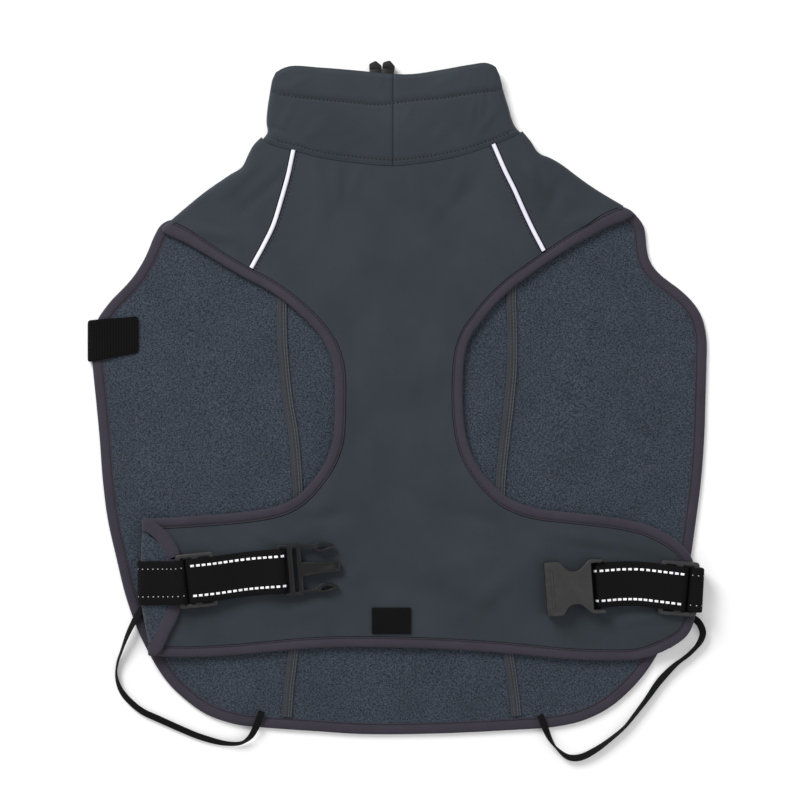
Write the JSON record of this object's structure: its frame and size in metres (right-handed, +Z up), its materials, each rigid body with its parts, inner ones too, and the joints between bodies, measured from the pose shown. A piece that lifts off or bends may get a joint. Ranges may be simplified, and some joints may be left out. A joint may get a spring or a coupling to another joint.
{
  "type": "dog winter coat",
  "caption": "Sleeveless softshell dog coat laid flat, with a high collar, leg openings, belly flap, buckle straps and leg elastics.",
  "frame": {"origin": "on the table under the middle of the coat's outline, the leg elastics left out", "axes": "+Y from the hem to the collar, +X to the right as seen from above, +Z up, away from the table"},
  "size_m": [0.3549, 0.4003, 0.0151],
  "materials": {
    "softshell": "matte slate grey softshell with fleece inside",
    "fleece": "matte slate blue seam tape",
    "binding": "matte purple-grey binding tape",
    "piping": "white reflective piping",
    "webbing": "black ribbed webbing with reflective stitches",
    "black_tape": "matte black tape and elastic",
    "plastic": "matte dark grey moulded plastic"
  },
  "bodies": {
    "root": {"back_centre": "softshell", "back_side_left": "softshell", "back_side_right": "softshell", "front_panel": "softshell", "collar": "softshell", "seam_tape_left": "fleece", "seam_tape_right": "fleece", "binding_leg_left": "binding", "binding_leg_right": "binding", "binding_flap": "binding", "binding_back": "binding", "piping_left": "piping", "piping_right": "piping", "strap_left": "webbing", "strap_right": "webbing", "keeper_tab": "black_tape", "black_patch": "black_tape", "leg_elastic_left": "black_tape", "leg_elastic_right": "black_tape", "cord_end_left": "black_tape", "cord_end_right": "black_tape", "slider_left": "plastic", "slider_right": "plastic", "buckle_male": "plastic", "buckle_female": "plastic"}
  },
  "joints": []
}
